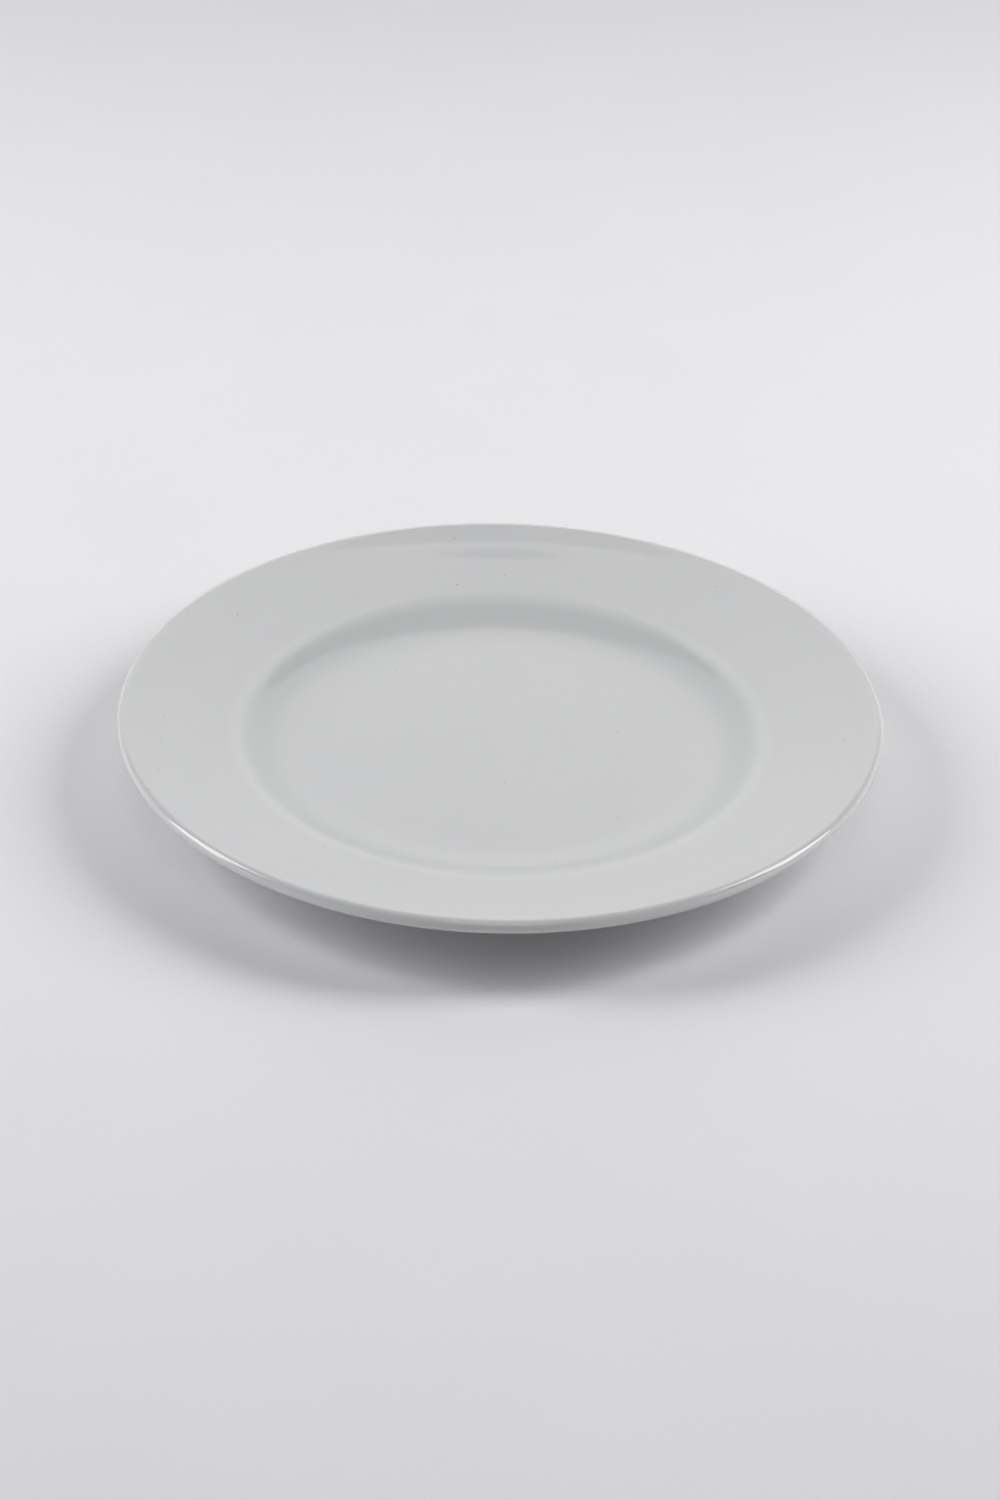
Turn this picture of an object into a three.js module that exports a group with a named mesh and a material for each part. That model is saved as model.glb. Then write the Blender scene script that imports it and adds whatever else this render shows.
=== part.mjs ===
// A round rimmed cake plate in glazed white porcelain.
// Millimetres, +Z up. The origin is the centre of the foot ring, on the table.
//
// A plate is a solid of revolution, so the design is one section: straight lines with tangent arcs between them.
// The fired clay body has that section. The glass fired onto it is the same section moved outwards by the
// thickness of the coat, so the coats fit the body everywhere, round the lip and into each hollow corner.
import * as THREE from "three";

// The rim and its lip, over the glaze
const plateDiameter = 190;
const lipThickness = 3.4; // the rim ends in a full round of this thickness
const rimSlope = 13.65; // degrees, the mean rise of the rim
const rimTurn = 0.7; // degrees that the rim steepens by from the shoulder outwards
const lipUpturn = 2.4; // degrees more in the last stretch, where the rim turns up to the lip
const lipUpturnWidth = 4.6; // from the middle of that turn to the centre of the lip's round

// The well, on the clay
const wellDiameter = 130.2; // at the shoulder, where the well wall and the rim meet
const wellDepth = 4.5; // from the shoulder down to the well floor
const wellWallSlope = 24; // degrees
const floorRound = 36; // radius of the hollow between the floor and the wall
const shoulderRound = 24; // radius of the crest between the wall and the rim

// The thickness of the clay
const floorThickness = 3.7;
const wallThickness = 4.2; // of the well wall and the inner rim, which thins towards the lip
const undersideRound = 12; // radius of the hollow under the shoulder

// The foot ring
const footHeight = 3.8; // from the table up to the clay of the base inside the ring
const footWidth = 3.4; // of the ring where it meets the table
const footOutset = 3.4; // how far the ring's outer edge lies outside the corner of the well floor
const footDraft = 12; // degrees that both sides of the ring lean, to leave the mould
const footEdgeRound = 0.5; // radius of the two edges that stand on the table
const footRootRound = 1.8; // radius of the hollows where the ring grows out of the underside

// The glaze
const glazeThickness = 0.25;
const bareFootHeight = 1.0; // how high the foot is wiped clean of glaze, so that it can't stick in the kiln

// How finely the round forms are cut into flat faces
const facets = 60; // around the plate
const sharedSide = 0.48; // an arc takes less than half of the shorter side of its corner
const hollowShare = 0.72; // but the long hollow takes most of the well wall
const crestShare = 0.24; // and the crest above it takes less

const radians = THREE.MathUtils.degToRad;

function at(radius, height) {
  return new THREE.Vector2(radius, height);
}

// A direction in the section that rises outwards by so many degrees.
function rising(degrees) {
  return at(Math.cos(radians(degrees)), Math.sin(radians(degrees)));
}

// The underside direction of a line: a quarter turn clockwise, which points into the clay below an upper face.
function below(direction) {
  return at(direction.y, -direction.x);
}

// The point where two lines of the section cross, each given by a point and a direction.
function crossing(pointA, directionA, pointB, directionB) {
  const gap = pointB.clone().sub(pointA);
  const distance = gap.cross(directionB) / directionA.cross(directionB);
  return pointA.clone().addScaledVector(directionA, distance);
}

// An arc of the section. The section runs clockwise, with the clay on its right, so a right turn is a crest,
// whose coat has a larger radius than the clay, and a left turn is a hollow, whose coat has a smaller one.
function arc(centre, radius, startAngle, sweep, steps) {
  return { centre, radius, startAngle, sweep, steps, side: sweep < 0 ? 1 : -1 };
}

// The arc that rounds the corner between two straight sides, and keeps to its share of the shorter one.
function roundedCorner(before, corner, after, radius, steps, share = sharedSide) {
  const back = before.clone().sub(corner);
  const onward = after.clone().sub(corner);
  const shorterSide = Math.min(back.length(), onward.length());
  back.normalize();
  onward.normalize();
  const turn = Math.atan2(back.clone().negate().cross(onward), back.clone().negate().dot(onward));
  const halfTurn = Math.tan(Math.abs(turn) / 2);
  const reach = Math.min(radius * halfTurn, share * shorterSide);
  const fitted = reach / halfTurn;
  const start = corner.clone().addScaledVector(back, reach);
  const towardsCentre = turn < 0 ? below(back.clone().negate()) : below(back);
  const centre = start.clone().addScaledVector(towardsCentre, fitted);
  return arc(centre, fitted, start.sub(centre).angle(), turn, steps);
}

// The points of an arc, with its surface moved outwards from the clay by the thickness of a coat.
function arcPoints({ centre, radius, startAngle, sweep, steps, side }, coat) {
  const points = [];
  for (let step = 0; step <= steps; step += 1) {
    const angle = startAngle + (sweep * step) / steps;
    const reach = radius + side * coat;
    points.push(at(centre.x + reach * Math.cos(angle), centre.y + reach * Math.sin(angle)));
  }
  return points;
}

// The upper side of the clay, from the axis out to the lip
const baseHeight = footHeight;
const floorHeight = baseHeight + floorThickness;
const shoulder = at(wellDiameter / 2, floorHeight + wellDepth);
const wallDirection = rising(wellWallSlope);
const floorCorner = crossing(shoulder, wallDirection, at(0, floorHeight), at(1, 0));

const innerRimDirection = rising(rimSlope - rimTurn / 2);
const outerRimDirection = rising(rimSlope + rimTurn / 2);
const lipRise = rimSlope + rimTurn / 2 + lipUpturn;
const upturnDirection = rising(lipRise);
const lipRadius = lipThickness / 2 - glazeThickness;
const lipCentreRadius = plateDiameter / 2 - lipThickness / 2;
const upturnRadius = lipCentreRadius - lipUpturnWidth;
const middleOfRim = crossing(shoulder, innerRimDirection, at((shoulder.x + upturnRadius) / 2, 0), at(0, 1));
const upturn = crossing(middleOfRim, outerRimDirection, at(upturnRadius, 0), at(0, 1));
const rimEnd = crossing(upturn, upturnDirection, at(lipCentreRadius, 0), at(0, 1));
const lipCentre = at(lipCentreRadius, rimEnd.y - lipRadius / upturnDirection.x);

// The underside of the clay: as thick as the wall under the shoulder, then straight out to the round of the lip
const wallUnderside = shoulder.clone().addScaledVector(below(wallDirection), wallThickness);
const rimUnderside = shoulder.clone().addScaledVector(below(innerRimDirection), wallThickness);
const hollow = crossing(wallUnderside, wallDirection, rimUnderside, innerRimDirection);
const hollowToLip = lipCentre.clone().sub(hollow);
const undersideAngle = hollowToLip.angle() - Math.asin(lipRadius / hollowToLip.length());
const quarterTurn = Math.PI / 2;
const lipStart = quarterTurn + radians(lipRise);
const lipSweep = undersideAngle - quarterTurn - lipStart;

// The foot ring, whose two sides lean towards each other as they go down
const footOuter = at(floorCorner.x + footOutset, 0);
const footInner = at(footOuter.x - footWidth, 0);
const outerSideDirection = rising(90 - footDraft);
const innerSideDirection = rising(90 + footDraft);
const outerRoot = crossing(footOuter, outerSideDirection, hollow, wallDirection);
const innerRoot = crossing(footInner, innerSideDirection, at(0, baseHeight), at(1, 0));

// Where the glaze ends on the two sides of the foot ring
const bareLine = at(0, bareFootHeight);
const outerGlazeEnd = crossing(footOuter, outerSideDirection, bareLine, at(1, 0));
const innerGlazeEnd = crossing(footInner, innerSideDirection, bareLine, at(1, 0));

// The arcs of the three stretches of the section
const lipUnderside = lipCentre.clone().addScaledVector(below(at(1, 0)), lipRadius);
const upperArcs = [
  roundedCorner(at(0, floorHeight), floorCorner, shoulder, floorRound, 6, hollowShare),
  roundedCorner(floorCorner, shoulder, middleOfRim, shoulderRound, 3, crestShare),
  roundedCorner(shoulder, middleOfRim, upturn, Infinity, 2),
  roundedCorner(middleOfRim, upturn, rimEnd, Infinity, 2),
  arc(lipCentre, lipRadius, lipStart, lipSweep, 8),
  roundedCorner(lipUnderside, hollow, outerRoot, undersideRound, 2),
  roundedCorner(hollow, outerRoot, footOuter, footRootRound, 3),
];
const footArcs = [
  roundedCorner(outerRoot, footOuter, footInner, footEdgeRound, 2),
  roundedCorner(footOuter, footInner, innerRoot, footEdgeRound, 2),
];
const baseArcs = [roundedCorner(footInner, innerRoot, at(0, baseHeight), footRootRound, 3)];

// The glazed upper stretch of the section, from the axis over the lip to the outside of the foot ring.
function upperStretch(coat) {
  const start = at(0, floorHeight + coat);
  const end = outerGlazeEnd.clone().addScaledVector(below(outerSideDirection), coat);
  return [start, ...upperArcs.flatMap((bend) => arcPoints(bend, coat)), end];
}

// The glazed stretch inside the foot ring, from the ring's inner side to the axis.
function baseStretch(coat) {
  const start = innerGlazeEnd.clone().addScaledVector(below(innerSideDirection), -coat);
  const end = at(0, baseHeight - coat);
  return [start, ...baseArcs.flatMap((bend) => arcPoints(bend, coat)), end];
}

const bareFoot = footArcs.flatMap((bend) => arcPoints(bend, 0));
const bodySection = [...upperStretch(0), ...bareFoot, ...baseStretch(0)];
const upperCoatSection = [...upperStretch(glazeThickness), ...upperStretch(0).reverse()];
const baseCoatSection = [...baseStretch(glazeThickness).reverse(), ...baseStretch(0)].reverse();

// A section turned about the axis of the plate. The lathe takes its outline anticlockwise.
function turned(name, section, material) {
  const geometry = new THREE.LatheGeometry(section.slice().reverse(), facets);
  const mesh = new THREE.Mesh(geometry, material);
  mesh.name = name;
  return mesh;
}

const biscuit = new THREE.MeshStandardMaterial({ color: "#ddd8ce", roughness: 0.65, metalness: 0 });
const whiteGlaze = new THREE.MeshStandardMaterial({ color: "#dcdedd", roughness: 0.08, metalness: 0 });

const plate = new THREE.Group();
plate.rotation.x = quarterTurn; // a lathe turns about Y, and the plate stands on Z
plate.add(turned("porcelain_body", bodySection, biscuit));
plate.add(turned("upper_glaze", upperCoatSection, whiteGlaze));
plate.add(turned("base_glaze", baseCoatSection, whiteGlaze));

const cakePlate = new THREE.Group();
cakePlate.add(plate);

export default cakePlate;
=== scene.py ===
# %% [markdown]
# # A glazed porcelain cake plate
#
# This lesson dresses one plain rimmed plate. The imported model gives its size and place, and everything
# here is made in metres in the same frame: the plate stands on z = 0 and its axis is the Z axis.
# On the real plate there are three things to see: a fired clay body, whose foot ring is left bare, and
# two coats of glass on it, one over the top, the lip and the underside, and one inside the foot ring.

# %% Load the frame
import math

import bmesh
import bpy
from mathutils import Matrix, Vector


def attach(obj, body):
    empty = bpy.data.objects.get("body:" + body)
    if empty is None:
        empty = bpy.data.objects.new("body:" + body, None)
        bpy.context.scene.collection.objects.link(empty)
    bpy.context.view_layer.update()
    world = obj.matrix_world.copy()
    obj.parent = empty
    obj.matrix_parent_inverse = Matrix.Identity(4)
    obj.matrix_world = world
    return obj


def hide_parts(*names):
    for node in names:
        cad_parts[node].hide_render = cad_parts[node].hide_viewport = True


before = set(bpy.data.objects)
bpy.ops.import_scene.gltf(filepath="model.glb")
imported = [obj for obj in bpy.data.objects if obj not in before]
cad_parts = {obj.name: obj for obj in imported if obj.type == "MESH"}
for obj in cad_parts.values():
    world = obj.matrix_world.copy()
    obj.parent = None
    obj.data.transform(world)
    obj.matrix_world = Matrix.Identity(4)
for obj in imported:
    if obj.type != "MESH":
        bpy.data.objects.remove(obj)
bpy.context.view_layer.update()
scene = bpy.context.scene

# %% [markdown]
# ## The section of the plate
#
# A plate is jiggered: a lump of clay is squeezed between a turning mould and a shaped blade, so the blade's
# outline, turned about the axis, is the whole plate. The same thing is done here: one section, made of
# straight lines with tangent arcs between them, is turned into a fine mesh. The Screw modifier could spin a
# drawn curve, but points that are worked out give true radii, and they let the glaze follow the clay at an
# even thickness round the lip and into each hollow. The sizes are those of the solids, in millimetres and
# degrees, so the fine surface lies on them.

# %% Sizes of the section
MM = 0.001
PLATE_DIAMETER = 190.0
LIP_THICKNESS = 3.4
RIM_SLOPE = 13.65
RIM_TURN = 0.7
LIP_UPTURN = 2.4
LIP_UPTURN_WIDTH = 4.6
WELL_DIAMETER = 130.2
WELL_DEPTH = 4.5
WELL_WALL_SLOPE = 24.0
FLOOR_ROUND = 36.0
SHOULDER_ROUND = 24.0
FLOOR_THICKNESS = 3.7
WALL_THICKNESS = 4.2
UNDERSIDE_ROUND = 12.0
FOOT_HEIGHT = 3.8
FOOT_WIDTH = 3.4
FOOT_OUTSET = 3.4
FOOT_DRAFT = 12.0
FOOT_EDGE_ROUND = 0.5
FOOT_ROOT_ROUND = 1.8
GLAZE_THICKNESS = 0.25
BARE_FOOT_HEIGHT = 1.0
print("a plate of", PLATE_DIAMETER, "mm with a well of", WELL_DIAMETER, "mm")

# %% [markdown]
# ## Lines and arcs
#
# A few small helpers draw the section. Two give a direction and its quarter turn, one finds where two lines
# cross, and one rounds the corner that they make. An arc may use up only a share of the shorter side of its
# corner, so that neighbouring arcs never run into each other. Moving an arc outwards by the thickness of a
# coat only changes its radius, which is how the glaze gets its own section from the same lines.

# %% Helpers for lines and arcs
EVEN_SHARE = 0.48
HOLLOW_SHARE = 0.72
CREST_SHARE = 0.24


def rising(degrees):
    """A direction in the section that rises outwards by so many degrees."""
    return Vector((math.cos(math.radians(degrees)), math.sin(math.radians(degrees))))


def below(direction):
    """A quarter turn clockwise, which points into the clay under an upper face."""
    return Vector((direction.y, -direction.x))


def cross(a, b):
    """The sine of the turn from a to b, times their lengths."""
    return a.x * b.y - a.y * b.x


def crossing(point_a, direction_a, point_b, direction_b):
    """Where two lines of the section cross, each given by a point and a direction."""
    along = cross(point_b - point_a, direction_b) / cross(direction_a, direction_b)
    return point_a + direction_a * along


def rounded_corner(before, corner, after, radius, steps, share=EVEN_SHARE):
    """The arc that rounds a corner: its centre, radius, start angle, sweep and steps."""
    back = before - corner
    onward = after - corner
    shorter_side = min(back.length, onward.length)
    back.normalize()
    onward.normalize()
    turn = math.atan2(-cross(back, onward), -back.dot(onward))
    half_turn = math.tan(abs(turn) / 2)
    reach = min(radius * half_turn, share * shorter_side)
    start = corner + back * reach
    towards_centre = below(-back) if turn < 0 else below(back)
    centre = start + towards_centre * (reach / half_turn)
    spoke = start - centre
    return centre, spoke.length, math.atan2(spoke.y, spoke.x), turn, steps


def arc_points(arc, coat):
    """Points along an arc, moved outwards from the clay by the thickness of a coat."""
    centre, radius, start, sweep, steps = arc
    reach = radius + (coat if sweep < 0 else -coat)
    angles = [start + sweep * step / steps for step in range(steps + 1)]
    return [centre + reach * Vector((math.cos(a), math.sin(a))) for a in angles]


level = Vector((1, 0))
plumb = Vector((0, 1))
print("the well wall rises along", tuple(round(x, 3) for x in rising(WELL_WALL_SLOPE)))

# %% [markdown]
# ## The upper side
#
# From the axis outwards come the flat floor, a long shallow hollow, the short well wall, the soft crest of
# the shoulder, the wide rim, which steepens a little and turns up just before the edge, and the full round
# of the lip. The heights follow from the foot, the thickness of the floor and the slopes.

# %% Corners of the upper side
floor_height = FOOT_HEIGHT + FLOOR_THICKNESS
floor_centre = Vector((0, floor_height))
shoulder = Vector((WELL_DIAMETER / 2, floor_height + WELL_DEPTH))
wall = rising(WELL_WALL_SLOPE)
floor_corner = crossing(shoulder, wall, floor_centre, level)

inner_rim = rising(RIM_SLOPE - RIM_TURN / 2)
outer_rim = rising(RIM_SLOPE + RIM_TURN / 2)
lip_rise = RIM_SLOPE + RIM_TURN / 2 + LIP_UPTURN
upturned_rim = rising(lip_rise)
lip_radius = LIP_THICKNESS / 2 - GLAZE_THICKNESS
lip_reach = PLATE_DIAMETER / 2 - LIP_THICKNESS / 2
upturn_reach = lip_reach - LIP_UPTURN_WIDTH
middle_of_rim = crossing(shoulder, inner_rim, Vector(((shoulder.x + upturn_reach) / 2, 0)), plumb)
upturn = crossing(middle_of_rim, outer_rim, Vector((upturn_reach, 0)), plumb)
rim_end = crossing(upturn, upturned_rim, Vector((lip_reach, 0)), plumb)
lip_centre = Vector((lip_reach, rim_end.y - lip_radius / upturned_rim.x))
print("lip centre", [round(x, 3) for x in lip_centre], "height", round(lip_centre.y + LIP_THICKNESS / 2, 3))

# %% [markdown]
# ## The underside and the foot ring
#
# Under the shoulder the clay is as thick as the well wall, and from there the underside runs straight out to
# touch the round of the lip. The foot ring stands under the edge of the well floor. Both of its sides lean,
# so that the plate leaves its mould, and its lowest millimetre is wiped clean of glaze, because a glazed foot
# would stick to the kiln shelf. The glaze ends where that bare band begins.

# %% Corners of the underside and the foot
hollow = crossing(
    shoulder + below(wall) * WALL_THICKNESS, wall,
    shoulder + below(inner_rim) * WALL_THICKNESS, inner_rim,
)
to_lip = lip_centre - hollow
underside_angle = math.atan2(to_lip.y, to_lip.x) - math.asin(lip_radius / to_lip.length)
lip_start = math.radians(90 + lip_rise)
lip_sweep = underside_angle - math.pi / 2 - lip_start
lip_bottom = lip_centre - plumb * lip_radius

base_centre = Vector((0, FOOT_HEIGHT))
foot_outer = Vector((floor_corner.x + FOOT_OUTSET, 0))
foot_inner = Vector((foot_outer.x - FOOT_WIDTH, 0))
outer_side = rising(90 - FOOT_DRAFT)
inner_side = rising(90 + FOOT_DRAFT)
outer_root = crossing(foot_outer, outer_side, hollow, wall)
inner_root = crossing(foot_inner, inner_side, base_centre, level)
bare_line = Vector((0, BARE_FOOT_HEIGHT))
outer_glaze_end = crossing(foot_outer, outer_side, bare_line, level)
inner_glaze_end = crossing(foot_inner, inner_side, bare_line, level)
print("foot ring from", round(foot_inner.x, 2), "to", round(foot_outer.x, 2), "mm from the axis")

# %% [markdown]
# ## Three closed sections
#
# The corners become arcs, and the arcs become three stretches: the glazed upper stretch from the axis over
# the lip to the foot, the bare foot, and the glazed base inside it. The body has all three. A coat is a
# stretch moved outwards by the thickness of the glaze, closed by the same stretch on the clay. The long
# hollow and the lip, which mirror the most, are cut into the most steps. The rim bends as gently as its
# corners allow, so its arcs have no radius of their own.

# %% Arcs of the section
HOLLOW_STEPS = 24
CREST_STEPS = 16
RIM_STEPS = 12
LIP_STEPS = 40
UNDERSIDE_STEPS = 10
FOOT_EDGE_STEPS = 6
WIDEST = math.inf
upper_arcs = [
    rounded_corner(floor_centre, floor_corner, shoulder, FLOOR_ROUND, HOLLOW_STEPS, HOLLOW_SHARE),
    rounded_corner(floor_corner, shoulder, middle_of_rim, SHOULDER_ROUND, CREST_STEPS, CREST_SHARE),
    rounded_corner(shoulder, middle_of_rim, upturn, WIDEST, RIM_STEPS),
    rounded_corner(middle_of_rim, upturn, rim_end, WIDEST, RIM_STEPS),
    (lip_centre, lip_radius, lip_start, lip_sweep, LIP_STEPS),
    rounded_corner(lip_bottom, hollow, outer_root, UNDERSIDE_ROUND, UNDERSIDE_STEPS),
    rounded_corner(hollow, outer_root, foot_outer, FOOT_ROOT_ROUND, UNDERSIDE_STEPS),
]
foot_arcs = [
    rounded_corner(outer_root, foot_outer, foot_inner, FOOT_EDGE_ROUND, FOOT_EDGE_STEPS),
    rounded_corner(foot_outer, foot_inner, inner_root, FOOT_EDGE_ROUND, FOOT_EDGE_STEPS),
]
base_arcs = [rounded_corner(foot_inner, inner_root, base_centre, FOOT_ROOT_ROUND, UNDERSIDE_STEPS)]
print("arcs", len(upper_arcs), "upper", len(foot_arcs), "on the foot", len(base_arcs), "in the base")

# %% Stretches of the section
def upper_stretch(coat):
    """From the axis over the well, the rim and the lip to the outside of the foot ring."""
    bends = [point for arc in upper_arcs for point in arc_points(arc, coat)]
    return [floor_centre + plumb * coat, *bends, outer_glaze_end + below(outer_side) * coat]


def base_stretch(coat):
    """From the inside of the foot ring over the base to the axis."""
    bends = [point for arc in base_arcs for point in arc_points(arc, coat)]
    return [inner_glaze_end - below(inner_side) * coat, *bends, base_centre - plumb * coat]


foot_stretch = [point for arc in foot_arcs for point in arc_points(arc, 0)]
body_section = upper_stretch(0) + foot_stretch + base_stretch(0)
upper_coat_section = upper_stretch(GLAZE_THICKNESS) + upper_stretch(0)[::-1]
base_coat_section = base_stretch(GLAZE_THICKNESS) + base_stretch(0)[::-1]
print("points in the sections", len(body_section), len(upper_coat_section), len(base_coat_section))

# %% [markdown]
# ## Turning a section into a mesh
#
# Each piece is a closed skin of rings round the axis, with a single point where its section meets the axis.
# bmesh builds it ring by ring. 384 steps round a 190 mm plate are 1.6 mm long, which keeps the outline and
# the reflections smooth, and smooth shading does the rest.

# %% Turn a section about the axis
STEPS_ROUND = 384
ON_AXIS = 1e-6


def turned_piece(name, section, material):
    """A closed mesh of revolution from a section in millimetres."""
    mesh = bmesh.new()
    rings = []
    for point in section:
        ring = []
        for step in range(1 if point.x < ON_AXIS else STEPS_ROUND):
            angle = 2 * math.pi * step / STEPS_ROUND
            place = Vector((point.x * math.cos(angle), point.x * math.sin(angle), point.y)) * MM
            ring.append(mesh.verts.new(place))
        rings.append(ring)
    closing = [] if len(rings[0]) == 1 else [(rings[-1], rings[0])]
    for ring, following in list(zip(rings, rings[1:])) + closing:
        if len(ring) == 1 and len(following) == 1:
            continue
        for step in range(STEPS_ROUND):
            after = (step + 1) % STEPS_ROUND
            corners = [ring[step % len(ring)], following[step % len(following)]]
            corners += [following[after % len(following)], ring[after % len(ring)]]
            mesh.faces.new(list(dict.fromkeys(corners)))
    bmesh.ops.recalc_face_normals(mesh, faces=mesh.faces)
    data = bpy.data.meshes.new(name)
    mesh.to_mesh(data)
    mesh.free()
    data.shade_smooth()
    data.materials.append(material)
    piece = bpy.data.objects.new(name, data)
    scene.collection.objects.link(piece)
    print(name, len(data.vertices), "vertices", len(data.polygons), "faces")
    return piece


print("steps of", round(math.pi * PLATE_DIAMETER / STEPS_ROUND, 2), "mm at the lip")

# %% [markdown]
# ## Colours and nodes
#
# Colours are written as sRGB hex values, as a maker would note them, and one function turns them into the
# linear values that shaders take. One more function adds a node: it sets the node's options, and each input
# gets either a value or a link from another node's output.

# %% Helpers for materials
MIX_A = 6
MIX_B = 7
MIX_COLOUR = 2


def hex_colour(text):
    """An sRGB hex value as a linear colour."""
    parts = [int(text[i:i + 2], 16) / 255 for i in (1, 3, 5)]
    return [x / 12.92 if x <= 0.04045 else ((x + 0.055) / 1.055) ** 2.4 for x in parts] + [1.0]


def new_material(name):
    """A material with its shader and its node tree."""
    material = bpy.data.materials.new(name)
    material.use_nodes = True
    return material, material.node_tree.nodes["Principled BSDF"], material.node_tree


def add_node(tree, kind, inputs=None, **settings):
    """A node with its settings, and its inputs set to values or linked to other nodes' outputs."""
    node = tree.nodes.new(kind)
    for name, value in settings.items():
        setattr(node, name, value)
    for socket, value in (inputs or {}).items():
        if isinstance(value, bpy.types.NodeSocket):
            tree.links.new(value, node.inputs[socket])
        else:
            node.inputs[socket].default_value = value
    return node


print("middle grey in linear light", [round(x, 3) for x in hex_colour("#808080")])

# %% [markdown]
# ## White porcelain glaze
#
# The plate is covered by a clear-white feldspar glaze, dipped and fired to a smooth glass with an index of
# refraction near 1.52. It gives the eye a cool white with a sharp, faint mirror on it. Broad faint clouds
# come from the uneven dip. Two rings are painted light and shade: a painted highlight, a lighter ring over
# the crest of the shoulder, and painted shade, a cooler and darker ring in the hollow of the well. Both rings
# follow the plate's own radius, so they are painted by the distance from the axis.

# %% Glaze colour
CLOUD_SIZE = 30 * MM
# Ring of painted shade: the hollow of the well is drawn darker and cooler.
SHADE_RING_RADIUS = 59.5 * MM
SHADE_RING_WIDTH = 7.0 * MM
# Ring of painted highlight: the crest of the shoulder is drawn lighter.
HIGHLIGHT_RING_RADIUS = 65.7 * MM
HIGHLIGHT_RING_WIDTH = 3.0 * MM
COOL_CLOUD = "#C9CACD"
WARM_CLOUD = "#CDCDCC"
# Colours of the painted shade in the hollow and the painted highlight on the crest.
PAINTED_SHADE_TINT = "#C5C7C8"
PAINTED_HIGHLIGHT_TINT = "#CFD0D0"
GLAZE_IOR = 1.52
FLATTEN = (1, 1, 0)
glaze_finish, shader, tree = new_material("white_porcelain_glaze")
shader.inputs["IOR"].default_value = GLAZE_IOR
place = add_node(tree, "ShaderNodeTexCoord").outputs["Object"]
plan = add_node(tree, "ShaderNodeVectorMath", {0: place, 1: FLATTEN}, operation="MULTIPLY").outputs[0]
radius = add_node(tree, "ShaderNodeVectorMath", {0: plan}, operation="LENGTH").outputs["Value"]
clouds = add_node(tree, "ShaderNodeTexNoise", {"Vector": place, "Scale": 1 / CLOUD_SIZE, "Detail": 3.0})
colour = add_node(
    tree, "ShaderNodeMix",
    {0: clouds.outputs[0], MIX_A: hex_colour(COOL_CLOUD), MIX_B: hex_colour(WARM_CLOUD)}, data_type="RGBA",
).outputs[MIX_COLOUR]
# Paint both rings into the colour: painted shade in the hollow, a painted highlight on the crest.
for ring_radius, ring_width, tint in (
    (SHADE_RING_RADIUS, SHADE_RING_WIDTH, PAINTED_SHADE_TINT),
    (HIGHLIGHT_RING_RADIUS, HIGHLIGHT_RING_WIDTH, PAINTED_HIGHLIGHT_TINT),
):
    away = add_node(tree, "ShaderNodeMath", {0: radius, 1: ring_radius}, operation="SUBTRACT")
    away = add_node(tree, "ShaderNodeMath", {0: away.outputs[0]}, operation="ABSOLUTE")
    near = add_node(
        tree, "ShaderNodeMapRange",
        {"Value": away.outputs[0], "From Min": ring_width, "From Max": 0.0}, interpolation_type="SMOOTHSTEP",
    )
    colour = add_node(
        tree, "ShaderNodeMix", {0: near.outputs[0], MIX_A: colour, MIX_B: hex_colour(tint)}, data_type="RGBA"
    ).outputs[MIX_COLOUR]
print("glaze colour nodes", len(tree.nodes))

# %% [markdown]
# ## Iron specks
#
# Even a clean porcelain glaze holds a few grains of iron, which melt into pinhead specks of grey. Voronoi
# cells scatter them: each cell of 14 mm has one point, and only a few of the cells show theirs. The pattern
# is taken in plan, so that every point lies on the surface, where it can be seen.

# %% Specks in the glaze
SPECK_SPACING = 14 * MM
SPECK_RADIUS = 0.24 * MM
SPECK_CORE = 0.5 * SPECK_RADIUS
SPECK_SHARE = 0.12
SPECK_TINT = "#8A8782"
cells = add_node(
    tree, "ShaderNodeTexVoronoi", {"Vector": plan, "Scale": 1 / SPECK_SPACING}, voronoi_dimensions="2D"
)
chance = add_node(tree, "ShaderNodeSeparateColor", {0: cells.outputs["Color"]}).outputs[0]
shown = add_node(tree, "ShaderNodeMath", {0: chance, 1: SPECK_SHARE}, operation="LESS_THAN")
dot = add_node(
    tree, "ShaderNodeMapRange",
    {
        "Value": cells.outputs["Distance"],
        "From Min": SPECK_RADIUS / SPECK_SPACING,
        "From Max": SPECK_CORE / SPECK_SPACING,
    },
)
speck = add_node(tree, "ShaderNodeMath", {0: dot.outputs[0], 1: shown.outputs[0]}, operation="MULTIPLY")
colour = add_node(
    tree, "ShaderNodeMix",
    {0: speck.outputs[0], MIX_A: colour, MIX_B: hex_colour(SPECK_TINT)}, data_type="RGBA",
).outputs[MIX_COLOUR]
tree.links.new(colour, shader.inputs["Base Color"])
print("one speck in about", round(1 / SPECK_SHARE), "cells of", SPECK_SPACING / MM, "mm")

# %% [markdown]
# ## The skin of the glass
#
# Fired glass is never quite flat. The turning blade leaves rings a few thousandths of a millimetre high, and
# the melt leaves low waves between them. They are far too low to model, but a mirror shows them: they make
# the edges of the reflections ragged. One Bump node takes both, with heights in thousandths of a millimetre.
# The gloss itself also changes a little from place to place.

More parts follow.
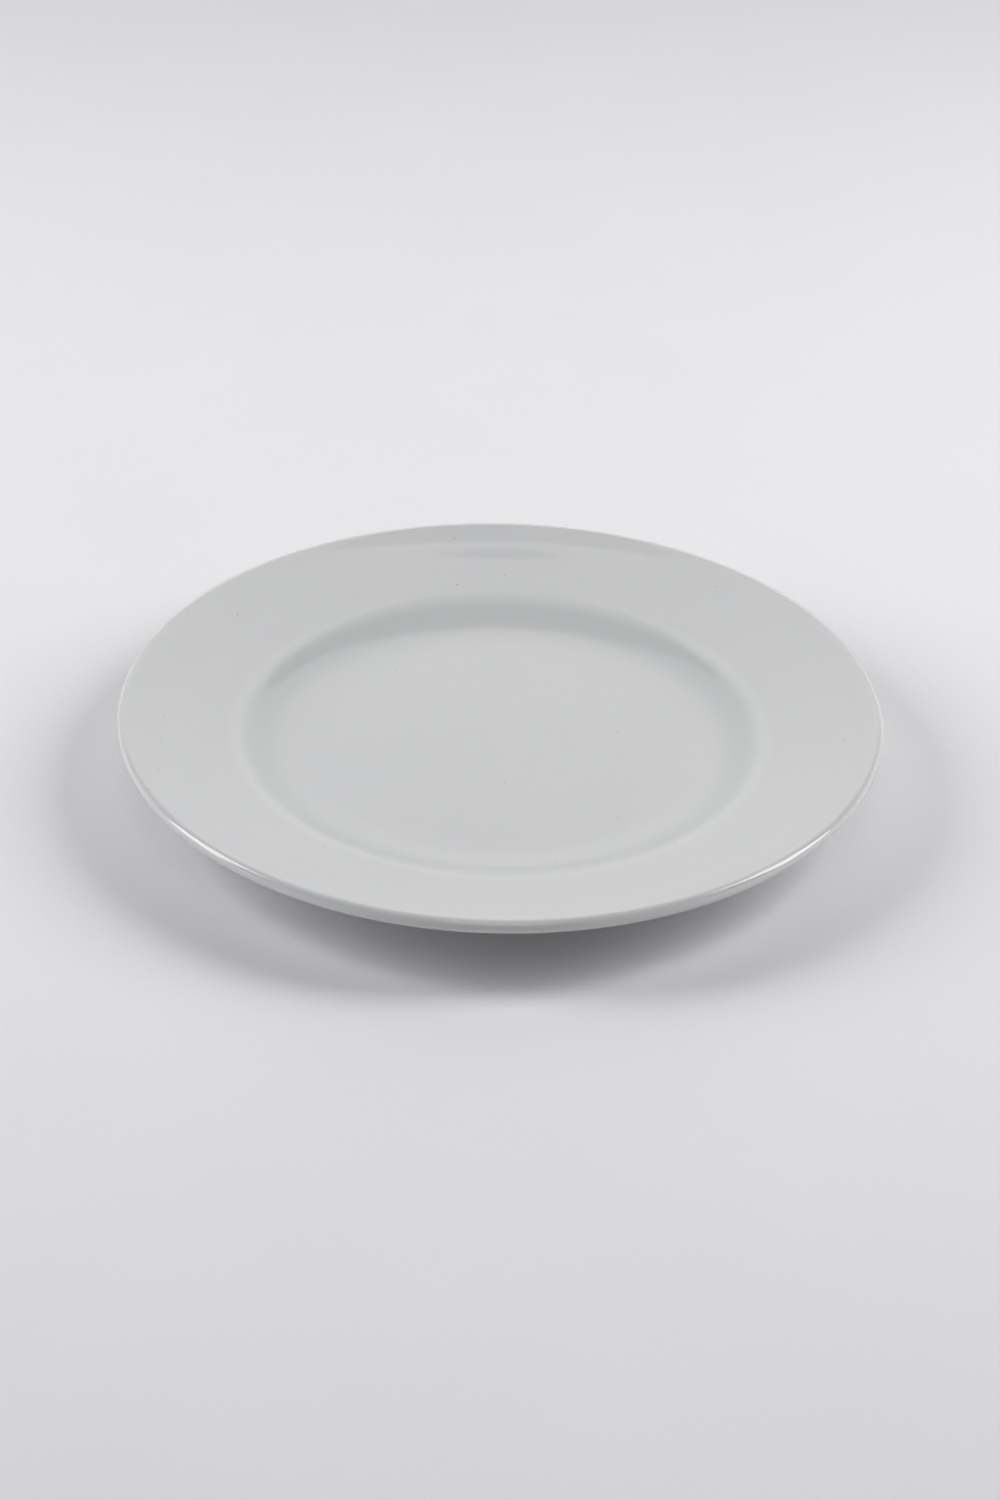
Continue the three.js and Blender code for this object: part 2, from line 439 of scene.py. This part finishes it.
# %% Waves and gloss of the glaze
MICRON = 1e-6
RING_SPACING = 8 * MM
RING_START = 82 * MM
RING_HEIGHT = 4.2
WAVE_SIZE = 9 * MM
WAVE_HEIGHT = 14.0
GLOSS_PATCH = 12 * MM
SMOOTHEST = 0.02
ROUGHEST = 0.04
turn_rate = 2 * math.pi / RING_SPACING
phase = add_node(
    tree, "ShaderNodeMath", {0: radius, 1: turn_rate, 2: -RING_START * turn_rate}, operation="MULTIPLY_ADD"
)
rings = add_node(tree, "ShaderNodeMath", {0: phase.outputs[0]}, operation="SINE").outputs[0]
waves = add_node(tree, "ShaderNodeTexNoise", {"Vector": place, "Scale": 1 / WAVE_SIZE, "Detail": 2.0})
swell = add_node(tree, "ShaderNodeMath", {0: waves.outputs[0], 1: WAVE_HEIGHT}, operation="MULTIPLY")
height = add_node(
    tree, "ShaderNodeMath", {0: rings, 1: RING_HEIGHT, 2: swell.outputs[0]}, operation="MULTIPLY_ADD"
)
skin = add_node(tree, "ShaderNodeBump", {"Height": height.outputs[0], "Strength": 1.0, "Distance": MICRON})
tree.links.new(skin.outputs[0], shader.inputs["Normal"])
patches = add_node(tree, "ShaderNodeTexNoise", {"Vector": place, "Scale": 1 / GLOSS_PATCH, "Detail": 2.0})
gloss = add_node(
    tree, "ShaderNodeMapRange", {"Value": patches.outputs[0], "To Min": SMOOTHEST, "To Max": ROUGHEST}
)
tree.links.new(gloss.outputs[0], shader.inputs["Roughness"])
print("glaze nodes", len(tree.nodes))

# %% [markdown]
# ## Bare fired porcelain
#
# The wiped foot ring is biscuit: porcelain fired without glaze, a matt, slightly creamy white with a fine
# sandy grain. It shows only from below, as a thin ring. The real grain is under 0.1 mm, too fine to show, so
# it is drawn three times as coarse, mixed into the colour and raised a hundredth of a millimetre.

# %% Biscuit
GRAIN_SIZE = 0.3 * MM
GRAIN_HEIGHT = 0.01 * MM
DARK_GRAIN = "#C6BFB3"
PALE_GRAIN = "#DAD4C9"
BISCUIT_ROUGHNESS = 0.7
biscuit_finish, shader, tree = new_material("bare_porcelain_biscuit")
shader.inputs["Roughness"].default_value = BISCUIT_ROUGHNESS
place = add_node(tree, "ShaderNodeTexCoord").outputs["Object"]
grain = add_node(tree, "ShaderNodeTexNoise", {"Vector": place, "Scale": 1 / GRAIN_SIZE, "Detail": 3.0})
grain = grain.outputs[0]
colour = add_node(
    tree, "ShaderNodeMix",
    {0: grain, MIX_A: hex_colour(DARK_GRAIN), MIX_B: hex_colour(PALE_GRAIN)}, data_type="RGBA",
)
tree.links.new(colour.outputs[MIX_COLOUR], shader.inputs["Base Color"])
sand = add_node(tree, "ShaderNodeBump", {"Height": grain, "Strength": 1.0, "Distance": GRAIN_HEIGHT})
tree.links.new(sand.outputs[0], shader.inputs["Normal"])
print("biscuit nodes", len(tree.nodes))

# %% [markdown]
# ## The three pieces
#
# Each piece rides on the plate's one body and takes the place of its solid. The coats are real shells, not
# paint, so the thin edge of the glaze shows above the bare foot.

# %% Make the pieces
body = turned_piece("fired_body", body_section, biscuit_finish)
upper_coat = turned_piece("upper_coat", upper_coat_section, glaze_finish)
base_coat = turned_piece("base_coat", base_coat_section, glaze_finish)
for piece, node, finish_slot in (
    (body, "porcelain_body", "biscuit_porcelain"),
    (upper_coat, "upper_glaze", "white_glaze"),
    (base_coat, "base_glaze", "white_glaze"),
):
    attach(piece, "root")
    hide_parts(node)
    print(piece.name, "replaces", node)

# %% [markdown]
# ## The paper sweep
#
# The plate stands on a wide sheet of white background paper. It is matt, with a soft tooth of fibres about
# 0.8 mm across and slow patches where the pulp is thicker. Both go into the colour, and the fibres also into
# a very low bump.

# %% Paper
FIBRE_SIZE = 0.8 * MM
PATCH_SIZE = 60 * MM
FIBRE_HEIGHT = 0.02 * MM
THIN_PAPER = "#EAE9EC"
THICK_PAPER = "#F1F0F3"
PAPER_ROUGHNESS = 0.9
PAPER_SHINE = 0.1
paper_finish, shader, tree = new_material("white_background_paper")
shader.inputs["Roughness"].default_value = PAPER_ROUGHNESS
shader.inputs["Specular IOR Level"].default_value = PAPER_SHINE
place = add_node(tree, "ShaderNodeTexCoord").outputs["Object"]
fibres = add_node(tree, "ShaderNodeTexNoise", {"Vector": place, "Scale": 1 / FIBRE_SIZE, "Detail": 2.0})
fibres = fibres.outputs[0]
patches = add_node(tree, "ShaderNodeTexNoise", {"Vector": place, "Scale": 1 / PATCH_SIZE, "Detail": 2.0})
mottle = add_node(tree, "ShaderNodeMath", {0: fibres, 1: patches.outputs[0]}, operation="MULTIPLY")
colour = add_node(
    tree, "ShaderNodeMix",
    {0: mottle.outputs[0], MIX_A: hex_colour(THIN_PAPER), MIX_B: hex_colour(THICK_PAPER)}, data_type="RGBA",
)
tree.links.new(colour.outputs[MIX_COLOUR], shader.inputs["Base Color"])
tooth = add_node(tree, "ShaderNodeBump", {"Height": fibres, "Strength": 1.0, "Distance": FIBRE_HEIGHT})
tree.links.new(tooth.outputs[0], shader.inputs["Normal"])
print("paper nodes", len(tree.nodes))

# %% [markdown]
# ## The pale distance
#
# The lamps light only the middle of the paper, so from a low camera the far paper would sink into grey. In a
# studio the sheet rises behind the table and stays pale. Here the far paper and the air above it are given
# one even pale light instead. It shows to the camera and in reflections only, which the Light Path node tells
# apart, so it throws no light on the plate and leaves its shadows as they are.

# %% Pale distance
# Distances in metres
FAR_LIGHT = 0.62
FAR_MIDDLE = (0.0, 0.15, 0.0)
FAR_START = 0.45
FAR_END = 0.85


def seen_rays(tree):
    """One for rays from the camera, a mirror or glass, and nothing for rays that carry light."""
    kinds = add_node(tree, "ShaderNodeLightPath").outputs
    seen = kinds["Is Camera Ray"]
    for kind in ("Is Glossy Ray", "Is Transmission Ray"):
        seen = add_node(tree, "ShaderNodeMath", {0: seen, 1: kinds[kind]}, operation="MAXIMUM").outputs[0]
    return seen


away = add_node(tree, "ShaderNodeVectorMath", {0: place, 1: FAR_MIDDLE}, operation="DISTANCE")
far = add_node(
    tree, "ShaderNodeMapRange",
    {"Value": away.outputs["Value"], "From Min": FAR_START, "From Max": FAR_END},
    interpolation_type="SMOOTHSTEP",
)
share = add_node(tree, "ShaderNodeMath", {0: far.outputs[0], 1: seen_rays(tree)}, operation="MULTIPLY")
pale = add_node(tree, "ShaderNodeEmission", {"Strength": FAR_LIGHT})
sheet = add_node(tree, "ShaderNodeMixShader", {0: share.outputs[0], 1: shader.outputs[0], 2: pale.outputs[0]})
tree.links.new(sheet.outputs[0], tree.nodes["Material Output"].inputs["Surface"])
print("pale beyond", FAR_END, "m")

# %% [markdown]
# ## Laying the paper
#
# A roll of paper could be modelled with its curve up the wall, but a large flat disc is enough, since the
# pale distance takes the place of its far end. It is stage, not part of the plate.

# %% Lay the paper
PAPER_RADIUS = 6.0
PAPER_SIDES = 96
bpy.ops.mesh.primitive_circle_add(vertices=PAPER_SIDES, radius=PAPER_RADIUS, fill_type="NGON")
floor = bpy.context.object
floor.name = "paper_floor"
floor.data.materials.append(paper_finish)
print("paper of", 2 * PAPER_RADIUS, "m across")

# %% [markdown]
# ## Three softboxes
#
# The plate throws two soft shadows, one to each side, and their front edges meet right under the near lip. So
# most of the light comes from two tall softboxes, left and right and level with the plate's axis. They are
# turned towards the paper behind the plate, and a cloth grid narrows their spread, so the paper in front
# falls off. A third softbox hangs higher and further off, in front of the table. Its shadow falls behind the
# plate, where the camera can't see it, and it opens the other two. Area lamps do all this: their size gives
# the softness of the shadows.

# %% Helpers for lamps
# Degrees, and a place in metres
SOFTBOX_SPREAD = 140
SOFTBOX_AIM = Vector((0, 0.27, 0))


def heading(azimuth, elevation):
    """A direction by degrees from straight back, positive to the right, and degrees above the table."""
    across = math.cos(math.radians(elevation))
    turn = math.radians(azimuth)
    rise = math.sin(math.radians(elevation))
    return Vector((across * math.sin(turn), across * math.cos(turn), rise))


def softbox(name, spot, width, height, watts):
    """A rectangular soft light that the camera doesn't see."""
    lamp = bpy.data.lights.new(name, "AREA")
    lamp.shape = "RECTANGLE"
    lamp.size = width
    lamp.size_y = height
    lamp.spread = math.radians(SOFTBOX_SPREAD)
    lamp.energy = watts
    holder = bpy.data.objects.new(name, lamp)
    holder.location = spot
    holder.rotation_euler = (SOFTBOX_AIM - spot).to_track_quat("-Z", "Y").to_euler()
    holder.visible_camera = False
    scene.collection.objects.link(holder)
    print(name, watts, "W at", [round(x, 2) for x in spot])


print("straight back is", tuple(heading(0, 0)))

# %% Place the softboxes
# Headings in degrees, distances and sizes in metres
RIGHT_HEADING = (82, 38)
LEFT_HEADING = (-87, 32)
FRONT_HEADING = (180, 62)
SIDE_DISTANCE = 1.2
SIDE_WIDTH = 0.45
SIDE_HEIGHT = 0.85
FRONT_DISTANCE = 2.5
FRONT_WIDTH = 0.9
FRONT_HEIGHT = 1.5
RIGHT_WATTS = 6.15
LEFT_WATTS = 5.85
FRONT_WATTS = 3.3
right_spot = heading(*RIGHT_HEADING) * SIDE_DISTANCE
left_spot = heading(*LEFT_HEADING) * SIDE_DISTANCE
front_spot = heading(*FRONT_HEADING) * FRONT_DISTANCE
softbox("right_softbox", right_spot, SIDE_WIDTH, SIDE_HEIGHT, RIGHT_WATTS)
softbox("left_softbox", left_spot, SIDE_WIDTH, SIDE_HEIGHT, LEFT_WATTS)
softbox("front_softbox", front_spot, FRONT_WIDTH, FRONT_HEIGHT, FRONT_WATTS)

# %% [markdown]
# ## The room around the table
#
# A glossy plate shows its surroundings. Here a bright panel hangs behind it, whose straight upper edge is
# the edge of the dark crescents that the far side of the plate reflects. It is a stand-in, placed so that
# they fall where the photograph has them. It glows most in its middle, which the flat of the well mirrors. A
# panel could be modelled as a glowing plane, but it would stand in the way of a camera that looks from
# another side, so the world shader draws it from the direction alone. A direction is inside the panel where
# it is on the right side of three edges, each given by the plane through it and the plate.

# %% Panel behind the table
PANEL_LIGHT = 0.84
PANEL_GLOW = 0.25
PANEL_MIDDLE = (0.0, 0.85, 0.53)
GLOW_START = 0.9
PANEL_EDGES = {"right": (-1.0, 0.56, 0.0), "left": (1.0, 0.66, 0.0), "top": (0.0, 1.54, -1.0)}
PANEL_EDGE_BLUR = 0.006
WHITE = (1, 1, 1, 1)
world = bpy.data.worlds.new("photo_table")
scene.world = world
world.use_nodes = True
tree = world.node_tree
background = tree.nodes["Background"]
background.inputs["Color"].default_value = WHITE
way = add_node(tree, "ShaderNodeTexCoord").outputs["Generated"]
inside = 1.0
for edge in PANEL_EDGES.values():
    side = add_node(tree, "ShaderNodeVectorMath", {0: way, 1: edge}, operation="DOT_PRODUCT").outputs["Value"]
    inside = add_node(tree, "ShaderNodeMath", {0: side, 1: inside}, operation="MINIMUM").outputs[0]
panel = add_node(
    tree, "ShaderNodeMapRange",
    {"Value": inside, "From Max": PANEL_EDGE_BLUR, "To Max": PANEL_LIGHT}, interpolation_type="SMOOTHSTEP",
)
towards = add_node(tree, "ShaderNodeVectorMath", {0: way, 1: PANEL_MIDDLE}, operation="DOT_PRODUCT")
glow = add_node(
    tree, "ShaderNodeMapRange",
    {"Value": towards.outputs["Value"], "From Min": GLOW_START, "To Max": PANEL_GLOW},
    interpolation_type="SMOOTHSTEP",
)
behind = add_node(tree, "ShaderNodeMath", {0: panel.outputs[0], 1: glow.outputs[0]}, operation="ADD")
print("panel with", len(PANEL_EDGES), "edges")

# %% [markdown]
# ## Light from the sides
#
# Low on both sides the room is bright, which lights the lip and the underside of the rim. Overhead it is
# dark. The height of a direction is its Z, and how far it points sideways is its X without the sign.

# %% Sides and ceiling
SIDE_LIGHT = 1.6
SIDE_TOP = 0.25
SIDE_FULL_HEIGHT = 0.1
SIDE_EDGE = 0.3
SIDE_MIDDLE = 0.85
CEILING_LIGHT = 0.02
axes = add_node(tree, "ShaderNodeSeparateXYZ", {0: way}).outputs
low = add_node(
    tree, "ShaderNodeMapRange",
    {"Value": axes["Z"], "From Min": SIDE_TOP, "From Max": SIDE_FULL_HEIGHT, "To Max": SIDE_LIGHT},
    interpolation_type="SMOOTHSTEP",
)
sideways = add_node(tree, "ShaderNodeMath", {0: axes["X"]}, operation="ABSOLUTE")
beside = add_node(
    tree, "ShaderNodeMapRange",
    {"Value": sideways.outputs[0], "From Min": SIDE_EDGE, "From Max": SIDE_MIDDLE},
    interpolation_type="SMOOTHSTEP",
)
sides = add_node(
    tree, "ShaderNodeMath",
    {0: low.outputs[0], 1: beside.outputs[0], 2: CEILING_LIGHT}, operation="MULTIPLY_ADD",
)
room = add_node(tree, "ShaderNodeMath", {0: behind.outputs[0], 1: sides.outputs[0]}, operation="ADD")
print("world nodes", len(tree.nodes))

# %% [markdown]
# ## The horizon
#
# Beyond the edge of the paper the world takes over. All round it has the light of the pale distance near the
# horizon and fades upwards. Where the panel or the sides are brighter, they stay as they are.

# %% Horizon
HORIZON_TOP = 0.5
HORIZON_FULL_HEIGHT = 0.15
horizon = add_node(
    tree, "ShaderNodeMapRange",
    {"Value": axes["Z"], "From Min": HORIZON_TOP, "From Max": HORIZON_FULL_HEIGHT, "To Max": FAR_LIGHT},
    interpolation_type="SMOOTHSTEP",
)
distance = add_node(tree, "ShaderNodeMath", {0: horizon.outputs[0], 1: seen_rays(tree)}, operation="MULTIPLY")
whole = add_node(tree, "ShaderNodeMath", {0: room.outputs[0], 1: distance.outputs[0]}, operation="MAXIMUM")
tree.links.new(whole.outputs[0], background.inputs["Strength"])
print("world nodes with the horizon", len(tree.nodes))

# %% [markdown]
# ## Camera
#
# The picture is taken from 32 degrees above the table, with a small roll that gives the outline the tilt it
# has in the photograph. The outline can't tell the lens: those from 50 to 135 mm fit it alike, each from its
# own distance. 85 mm at 0.88 m is a choice, with which the plate's height and the rise of its rim come out
# as usual.

# %% Camera
# Millimetres and degrees
LENS = 85.0
SENSOR = 36.0
EYE_DISTANCE = 881.79
EYE_AZIMUTH = 180
EYE_ELEVATION = 31.647
AIM = (0.078, -18.587)
ROLL = 1.261
camera_data = bpy.data.cameras.new("camera")
camera_data.lens = LENS
camera_data.sensor_width = SENSOR
camera = bpy.data.objects.new("camera", camera_data)
scene.collection.objects.link(camera)
lip_level = Vector((0, 0, lip_centre.y))
eye = (heading(EYE_AZIMUTH, EYE_ELEVATION) * EYE_DISTANCE + lip_level) * MM
aim = (Vector((*AIM, 0)) + lip_level) * MM
look = (aim - eye).to_track_quat("-Z", "Y").to_matrix().to_4x4()
camera.matrix_world = Matrix.Translation(eye) @ look @ Matrix.Rotation(math.radians(ROLL), 4, "Z")
scene.camera = camera
scene.view_settings.view_transform = "Standard"
print("camera at", [round(x, 3) for x in eye])
